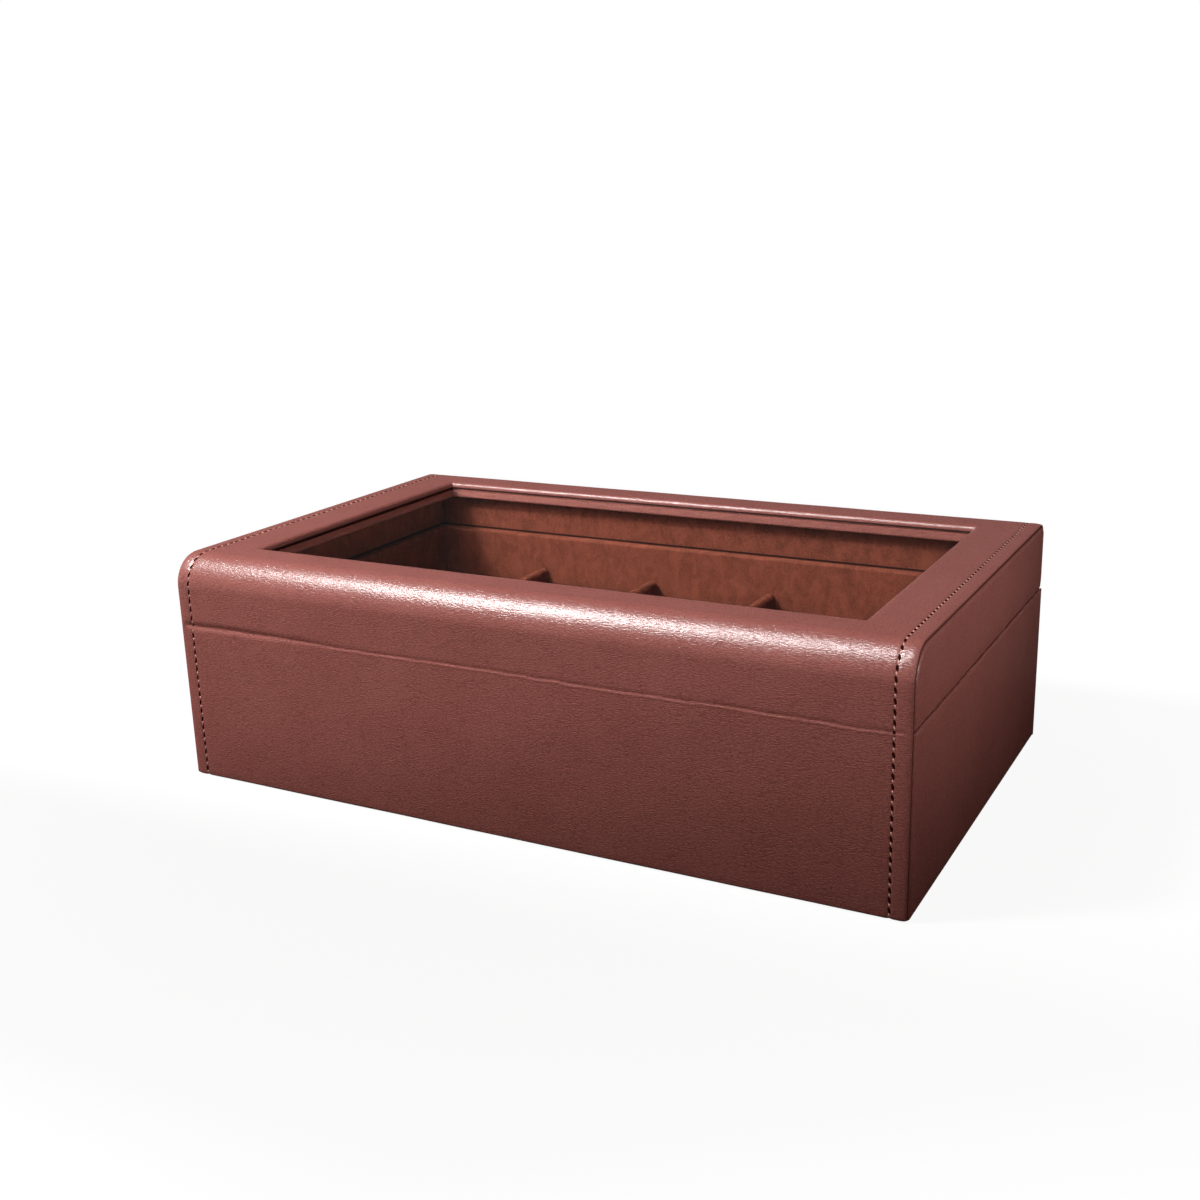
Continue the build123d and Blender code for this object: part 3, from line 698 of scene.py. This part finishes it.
def awlSlot(centre, along, normal, side):
    # a shallow bowl, sheared to one side and dark with the painted shade of the hole: its points, the
    # middle one first
    v = stitchValues
    points = [(centre + normal * v["holeFloor"]) * mm]
    for k in range(v["holeSides"]):
        a = 2 * math.pi * k / v["holeSides"]
        out = math.sin(a) * v["holeWidth"] / 2 + v["holeShear"] * side * math.cos(a)
        flat = along * math.cos(a) * v["holeLength"] / 2 + Vector((out, 0, 0))
        points.append((centre + flat + normal * v["holeRim"]) * mm)
    return points


def stitchThread(centre, line, normal):
    # a short bowed thread with rounded ends, as rings of points
    v = stitchValues
    cross = normal.cross(line)
    points = []
    for r in range(v["rings"]):
        t = r / (v["rings"] - 1) * 2 - 1
        thick = v["threadRadius"] * math.sqrt(max(0.05, 1 - t ** 6))
        middle = centre + line * (t * v["threadLength"] / 2) - normal * (v["threadDip"] * t * t)
        for k in range(v["spokes"]):
            a = k * 2 * math.pi / v["spokes"]
            points.append((middle + (cross * math.cos(a) + normal * math.sin(a)) * thick) * mm)
    return points


def buildStitches():
    v = stitchValues
    path = wrapPath()
    last = path[-1][0] - v["clearOfHem"]
    wobble = random.Random(7)
    sides, spokes = v["holeSides"], v["spokes"]
    threads, threadFaces, holes, holeFaces = [], [], [], []
    for side in (-1, 1):
        x = side * (wrapHigh.x - wrapValues["stitchInset"])
        run = v["clearOfHem"]
        while run < last:
            uneven = wobble.uniform(-v["unevenSlant"], v["unevenSlant"])
            lean = math.radians(v["slant"]) * side + uneven
            first = len(holes)
            holes += awlSlot(*onSkin(path, x, run), side)
            holeFaces += [(first, first + 1 + k, first + 1 + (k + 1) % sides) for k in range(sides)]
            # the thread between this slot and the next
            centre, along, normal = onSkin(path, x, run + v["pitch"] / 2)
            line = along * math.cos(lean) + Vector((math.sin(lean), 0, 0))
            first = len(threads)
            threads += stitchThread(centre - normal * v["threadSink"], line, normal)
            for r in range(v["rings"] - 1):
                for k in range(spokes):
                    a, b = first + r * spokes + k, first + r * spokes + (k + 1) % spokes
                    threadFaces.append((a, b, b + spokes, a + spokes))
            threadFaces.append(tuple(range(first, first + spokes))[::-1])
            threadFaces.append(tuple(range(len(threads) - spokes, len(threads))))
            run += v["pitch"]
    # the slots carry the painted shade of the holes
    made = [makePiece("awlSlots", holes, holeFaces, holeShadeMaterial),
            makePiece("saddleStitches", threads, threadFaces, threadMaterial)]
    for piece in made:
        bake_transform(piece)


buildStitches()
print("stitches made")


# crowned suede pillows, one in each watch cell

pillowValues = {  # lengths in mm
    "stations": 36, "around": 44,
    # half width and top in the middle, how much less they are at the ends, and how late that comes
    "half": (22.3, 5.4, 4.5), "top": (21.6, 8.2, 3.2),
    "lift": 3.6, "liftFrom": 0.72, "liftOver": 0.28,  # the underside rises towards the ends
    "square": 0.72,  # 1 is a round section, 0 a square one
    "endGap": 0.6,  # the form is this much shorter than its cell's cushion
    "voxel": 1.3, "pressure": 4.0, "frames": 20,  # for the cloth
    "cap": 1.6,  # how far the cloth may move a point
    "heldEnd": 4.0,  # over this length the ends are held
    "seam": 2.6,  # from each end to the seam
    "seamDepth": 0.7, "seamWidth": 0.8,
    "puckers": 19, "puckerDepth": 0.45, "puckerReach": 5.0,
    "dents": 0.35, "dentSize": 9,
    "middle": 10,  # height of the pillow's axis
    "turn": 1.2,  # degrees, how far a pillow may lie askew
    "fill": 0.7,
}


def pillowSection(t):
    # half width, lift of the underside and height of the top, at t from -1 to 1 along the pillow
    v = pillowValues
    e = abs(t)
    half, top = [most - less * e ** late for most, less, late in (v["half"], v["top"])]
    return half, v["lift"] * smooth((e - v["liftFrom"]) / v["liftOver"]), top


def pillowForm(length):
    v = pillowValues
    points, faces = [], []
    for i in range(v["stations"] + 1):
        t = -math.cos(math.pi * i / v["stations"])
        half, lift, top = pillowSection(t)
        for k in range(v["around"]):
            a = 2 * math.pi * k / v["around"]
            c, s = [math.copysign(abs(w) ** v["square"], w) for w in (math.cos(a), math.sin(a))]
            height = lift + (top - lift) * (0.5 + 0.5 * s)
            points.append(Vector((half * c, t * length / 2, height)) * mm)
    ring = v["around"]
    for i in range(v["stations"]):
        for k in range(ring):
            a, b = i * ring + k, i * ring + (k + 1) % ring
            faces.append((a, a + ring, b + ring, b))
    faces.append(tuple(range(ring)))
    faces.append(tuple(v["stations"] * ring + k for k in range(ring))[::-1])
    return points, faces


def puffPillow(pillow):
    # remesh, blow up with cloth pressure, cap how far each point moves, and smooth
    v = pillowValues
    remesh = pillow.modifiers.new("evenMesh", "REMESH")
    remesh.mode = "VOXEL"
    remesh.voxel_size = v["voxel"] * mm
    bakeModifiers(pillow)
    start = [p.co.copy() for p in pillow.data.vertices]
    pinned = pillow.vertex_groups.new(name="seams")
    half = max(p.y for p in start)
    for index, p in enumerate(start):
        held = 1.0 - smooth((half - abs(p.y)) / (v["heldEnd"] * mm))
        pinned.add([index], held, "REPLACE")
    cloth = pillow.modifiers.new("stuffing", "CLOTH")
    cloth.settings.use_pressure = True
    cloth.settings.uniform_pressure_force = v["pressure"]
    cloth.settings.vertex_group_mass = "seams"
    cloth.settings.effector_weights.gravity = 0.0
    cloth.settings.quality = 6
    scene = bpy.context.scene
    for step in range(1, v["frames"] + 1):
        scene.frame_set(step)
    bakeModifiers(pillow)
    scene.frame_set(1)
    cap = v["cap"] * mm
    for p, old in zip(pillow.data.vertices, start):
        move = p.co - old
        if move.length > cap:
            p.co = old + move * (cap / move.length)


def bakeModifiers(piece):
    graph = bpy.context.evaluated_depsgraph_get()
    mesh = bpy.data.meshes.new_from_object(piece.evaluated_get(graph))
    old = piece.data
    piece.modifiers.clear()
    piece.data = mesh
    bpy.data.meshes.remove(old)


def sewPillow(pillow, length):
    # a sunk seam near each end with short puckers running from it
    v = pillowValues
    half = length / 2 * mm
    for p in pillow.data.vertices:
        fromSeam = (half - abs(p.co.y)) / mm - v["seam"]
        around = math.atan2(p.co.z / mm - v["middle"], p.co.x / mm)
        out = Vector((p.co.x, 0, p.co.z - v["middle"] * mm)).normalized()
        groove = -v["seamDepth"] * bell(fromSeam, v["seamWidth"])
        pucker = v["puckerDepth"] * math.sin(around * v["puckers"] + 2 * math.sin(around * 5))
        pucker *= bell(fromSeam, v["puckerReach"]) * smooth(fromSeam / 1.5 + 0.5)
        dent = v["dents"] * noise.noise(p.co / mm / v["dentSize"])
        p.co += out * (groove + pucker + dent) * mm
        p.co.z = max(p.co.z, 0.0)
    pillow.data.update()


def buildPillows():
    v = pillowValues
    nodes = [f"cushion_{i}" for i in range(1, 7)]
    low, high = [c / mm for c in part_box(nodes[0])]
    length = high.y - low.y - v["endGap"]
    points, faces = pillowForm(length)
    master = makePiece("suedePillow_1", points, faces, pillowSuede, 70)
    puffPillow(master)
    sewPillow(master, length)
    smoother = master.modifiers.new("smoother", "SUBSURF")
    smoother.levels = smoother.render_levels = 1
    bakeModifiers(master)
    master.data.polygons.foreach_set("use_smooth", [True] * len(master.data.polygons))
    turnBy = random.Random(3)
    pillows = [master]
    for i in range(2, 7):
        copy = bpy.data.objects.new(f"suedePillow_{i}", master.data.copy())
        bpy.context.scene.collection.objects.link(copy)
        pillows.append(copy)
    for pillow, node in zip(pillows, nodes):
        low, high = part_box(node)
        middle = Vector(((low.x + high.x) / 2, (low.y + high.y) / 2, low.z))
        angle = math.radians(turnBy.uniform(-v["turn"], v["turn"])) + turnBy.choice((0, math.pi))
        spin = Matrix.Rotation(angle, 4, "Z")
        pillow.data.transform(Matrix.Translation(middle) @ spin)
        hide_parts(node)
        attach(pillow, "base")


buildPillows()
print("pillows made")


# floor, light and camera

lightValues = {  # metres, watts and degrees
    "target": (0, 0, 0.05),
    "key": {"power": 19.5, "direction": (0.47, 0.47, 0.75), "distance": 1.15, "size": 0.22},
    "strip": {"power": 52.0, "direction": (0.37, 0.35, 0.86), "distance": 1.05},
    "stripSize": (0.78, 0.09), "stripAlong": (0.74, -0.08, -0.225), "stripShift": -0.05,
    "side": {"place": (-0.345, 0.03, 0.115), "facing": (1.0, 0.0, 0.0), "size": (0.24, 0.02),
             "power": 0.068, "spread": 76},
    "front": {"place": (-0.05, -0.75, 0.05), "facing": (0.05, 1.0, 0.0), "size": (0.5, 0.09),
              "power": 1.4, "spread": 120},
    # the card: how far it stands from the back face, the height at which it is aimed, the heights of
    # its shadow's edge at x of +cardReach and -cardReach, how much longer it is, and its depth
    "cardDistance": 0.30, "cardAim": 0.035, "cardReach": 0.16, "cardShade": (-0.055, 0.0),
    "cardMore": 0.6, "cardDepth": 0.20,
    "worldLevel": 0.21,  # light on the object
    "roomLevel": 0.11,  # what it mirrors where the black flag stands
    "paneLevel": 0.085,  # the part of the room's light that goes in through the pane
    "flagEdge": 0.35,
}


def areaLamp(name, power, direction=(0, 0, 1), distance=0.0, size=0.1):
    lamp = bpy.data.lights.new(name, "AREA")
    lamp.shape = "DISK"
    lamp.size = size
    lamp.energy = power
    holder = bpy.data.objects.new(name, lamp)
    away = Vector(direction).normalized()
    holder.location = Vector(lightValues["target"]) + away * distance
    holder.rotation_mode = "QUATERNION"
    holder.rotation_quaternion = (-away).to_track_quat("-Z", "Y")
    # lamp light already passes the pane as shadow rays, and isn't counted a second time
    holder.visible_transmission = False
    bpy.context.scene.collection.objects.link(holder)
    return holder


keyLamp = areaLamp("keyLamp", **lightValues["key"])


def shadeCard():
    # a black card below the key lamp softly shades the foot of the long face
    v = lightValues
    lamp = keyLamp.location
    toLamp = Vector(v["key"]["direction"]).normalized()
    plane = Vector((0, wrapHigh.y * mm, v["cardAim"])) + toLamp * v["cardDistance"]
    edge = []
    for x, z in zip((v["cardReach"], -v["cardReach"]), v["cardShade"]):
        start = Vector((x, wrapHigh.y * mm, z))
        ray = lamp - start
        edge.append(start + ray * ((plane - start).dot(toLamp) / ray.dot(toLamp)))
    line = edge[1] - edge[0]
    down = (toLamp * toLamp.z - Vector((0, 0, 1))).normalized() * v["cardDepth"]
    first, last = edge[0] - line * v["cardMore"], edge[1] + line * v["cardMore"]
    corners = [first, last, last + down, first + down]
    card = makePiece("shadeCard", corners, [(0, 1, 2, 3)], blackCard())
    card.visible_camera = card.visible_glossy = card.visible_transmission = False


shadeCard()


def lowLamp(name, place, facing, size, power, spread):
    # a lamp that stands beside the box at its own height, with its long side level
    lamp = areaLamp(name, power)
    lamp.data.shape = "RECTANGLE"
    lamp.data.size, lamp.data.size_y = size
    lamp.data.spread = math.radians(spread)
    lamp.location = place
    back = -Vector(facing).normalized()
    level = Vector((0, 0, 1)).cross(back).normalized()
    lamp.rotation_quaternion = Matrix([level, back.cross(level), back]).transposed().to_quaternion()
    return lamp


# a narrow lamp with a grid lifts the upper part of the -X end, and a soft one fills the drawer side
lowLamp("sideLamp", **lightValues["side"])
front = lowLamp("frontLamp", **lightValues["front"])
front.visible_camera = front.visible_glossy = False

# a long strip that only shows as the highlight along the rounded hinge edge
strip = areaLamp("stripLamp", **lightValues["strip"])
strip.data.shape = "RECTANGLE"
strip.data.size, strip.data.size_y = lightValues["stripSize"]
strip.visible_diffuse = False
facing = Vector(lightValues["strip"]["direction"]).normalized()
along = Vector(lightValues["stripAlong"])
along = (along - facing * along.dot(facing)).normalized()
strip.location = strip.location + along * lightValues["stripShift"]
strip.rotation_quaternion = Matrix([along, facing.cross(along), facing]).transposed().to_quaternion()


def seenRays(add):
    # 1 for the rays by which the eye, straight or through the pane, sees the background, and all rays
    rays = add("LightPath")
    bounces = add("Math", {"operation": "ADD"}, {}, {0: rays.outputs["Diffuse Depth"],
                  1: rays.outputs["Glossy Depth"]}).outputs[0]
    direct = add("Math", {"operation": "LESS_THAN"}, {1: 0.5}, {0: bounces}).outputs[0]
    through = add("Math", {"operation": "MULTIPLY"}, {},
                  {0: rays.outputs["Is Transmission Ray"], 1: direct}).outputs[0]
    seen = add("Math", {"operation": "MAXIMUM"}, {}, {0: rays.outputs["Is Camera Ray"],
               1: through}).outputs[0]
    return seen, rays


def paleStudio():
    world = bpy.data.worlds.new("paleStudio")
    bpy.context.scene.world = world
    world.use_nodes = True
    world.node_tree.nodes.clear()
    add = partial(addNode, world.node_tree)
    seen, rays = seenRays(add)
    white, warm = fromHex("#ffffff"), fromHex("#fffaf5")
    ambient = add("Background", {}, {"Color": warm, "Strength": lightValues["worldLevel"]})
    # leather, metal and glass mirror the white too, except where a black flag stands behind the box
    way = add("TexCoord").outputs["Generated"]
    behind = add("VectorMath", {"operation": "DOT_PRODUCT"}, {1: (0, -1, 0)},
                 {0: way}).outputs["Value"]
    flagged = add("MapRange", eased, {"From Max": lightValues["flagEdge"], "To Min": 1.0,
                  "To Max": lightValues["roomLevel"]}, {"Value": behind}).outputs[0]
    room = add("Background", {}, {"Color": white}, {"Strength": flagged})
    backdrop = add("Background", {}, {"Color": white, "Strength": 1.0})
    # and only part of the room's light goes in through the pane
    inside = add("Background", {}, {"Color": warm, "Strength": lightValues["paneLevel"]})
    outside = add("MixShader", {}, {}, {0: rays.outputs["Is Glossy Ray"],
                  1: ambient.outputs[0], 2: room.outputs[0]})
    unseen = add("MixShader", {}, {}, {0: rays.outputs["Is Transmission Ray"],
                 1: outside.outputs[0], 2: inside.outputs[0]})
    sky = add("MixShader", {}, {}, {0: seen, 1: unseen.outputs[0], 2: backdrop.outputs[0]})
    add("OutputWorld", {}, {}, {"Surface": sky.outputs[0]})


paleStudio()

floorValues = {  # distances from the box in metres
    "halfSize": 6.0,
    "bounce": (0.24, 0.65), "bounceColours": ("#1c1b1a", "#c8c4c0"), "mirrored": "#2a2928",
    "lift": (0.12, 0.55), "liftLeast": 0.92,  # where the eye sees it, it is lifted to white
    "sheet": (0.4, 0.8), "sheetFront": (-0.1, 0.2),
}


def paperFloor():
    # A sweep of white studio paper: matt, and lifted towards white where the eye sees it.
    # As a reflector it is dim near the box and bright farther out, so that the sides darken
    # towards the floor
    v = floorValues
    material, add = newMaterial("whiteStudioPaper")
    seen, rays = seenRays(add)
    mirrored = rays.outputs["Is Glossy Ray"]
    place = add("TexCoord").outputs["Object"]
    away = add("VectorMath", {"operation": "LENGTH"}, {}, {0: place}).outputs["Value"]
    inFront = add("VectorMath", {"operation": "DOT_PRODUCT"}, {1: (0, 1, 0)},
                  {0: place}).outputs["Value"]
    # each of these rises from its least to 1 between its two distances
    risen = {}
    for name, source, least in (("bounce", away, 0.0), ("lift", away, v["liftLeast"]),
                                ("sheet", away, 0.0), ("sheetFront", inFront, 0.0)):
        start, end = v[name]
        risen[name] = add("MapRange", eased, {"From Min": start, "From Max": end,
                          "To Min": least}, {"Value": source}).outputs[0]
    near, far = [fromHex(code) for code in v["bounceColours"]]
    reflector = add("Mix", {"data_type": "RGBA"}, {6: near, 7: far},
                    {0: risen["bounce"]}).outputs[2]
    bounce = add("Mix", {"data_type": "RGBA"}, {7: fromHex(v["mirrored"])},
                 {0: mirrored, 6: reflector}).outputs[2]
    paper = add("Mix", {"data_type": "RGBA"}, {7: fromHex("#ffffff")},
                {0: seen, 6: bounce}).outputs[2]
    matt = add("BsdfDiffuse", {}, {"Roughness": 0.6}, {"Color": paper})
    glow = add("Emission", {}, {"Color": fromHex("#ffffff"), "Strength": 1.0})
    # mirrored rays see the white of the sheet from about half a metre out, clear of the flag
    clearOut = add("Math", {"operation": "MULTIPLY"}, {},
                   {0: risen["sheetFront"], 1: risen["sheet"]}).outputs[0]
    shown = add("Math", {"operation": "MULTIPLY"}, {}, {0: clearOut, 1: mirrored}).outputs[0]
    direct = add("Math", {"operation": "MULTIPLY"}, {}, {0: seen, 1: risen["lift"]}).outputs[0]
    share = add("Math", {"operation": "MAXIMUM"}, {}, {0: direct, 1: shown}).outputs[0]
    mixed = add("MixShader", {}, {}, {0: share, 1: matt.outputs[0], 2: glow.outputs[0]})
    add("OutputMaterial", {}, {}, {"Surface": mixed.outputs[0]})
    return material


edge = floorValues["halfSize"]
floorCorners = [(-edge, -edge, 0), (edge, -edge, 0), (edge, edge, 0), (-edge, edge, 0)]
floor = makePiece("studioFloor", floorCorners, [(0, 1, 2, 3)], paperFloor())

cameraValues = {
    # its place in metres and its three axes, found from the photographed box's corners
    "place": (-0.28887, 0.54642, 0.25133),
    "right": (-0.88205, -0.47034, -0.02777),
    "up": (0.10719, -0.25771, 0.96026),
    "back": (-0.45880, 0.84402, 0.27773),
    "lens": 43.995, "sensor": 36.0,  # mm
    "nearest": 0.01,
}
lens = bpy.data.cameras.new("studioCamera")
lens.lens = cameraValues["lens"]
lens.sensor_width = cameraValues["sensor"]
lens.clip_start = cameraValues["nearest"]
camera = bpy.data.objects.new("studioCamera", lens)
turn = Matrix([cameraValues["right"], cameraValues["up"], cameraValues["back"]]).transposed()
camera.matrix_world = Matrix.Translation(cameraValues["place"]) @ turn.to_4x4()
bpy.context.scene.collection.objects.link(camera)
bpy.context.scene.camera = camera
bpy.context.scene.view_settings.view_transform = "Standard"
print("studio made")
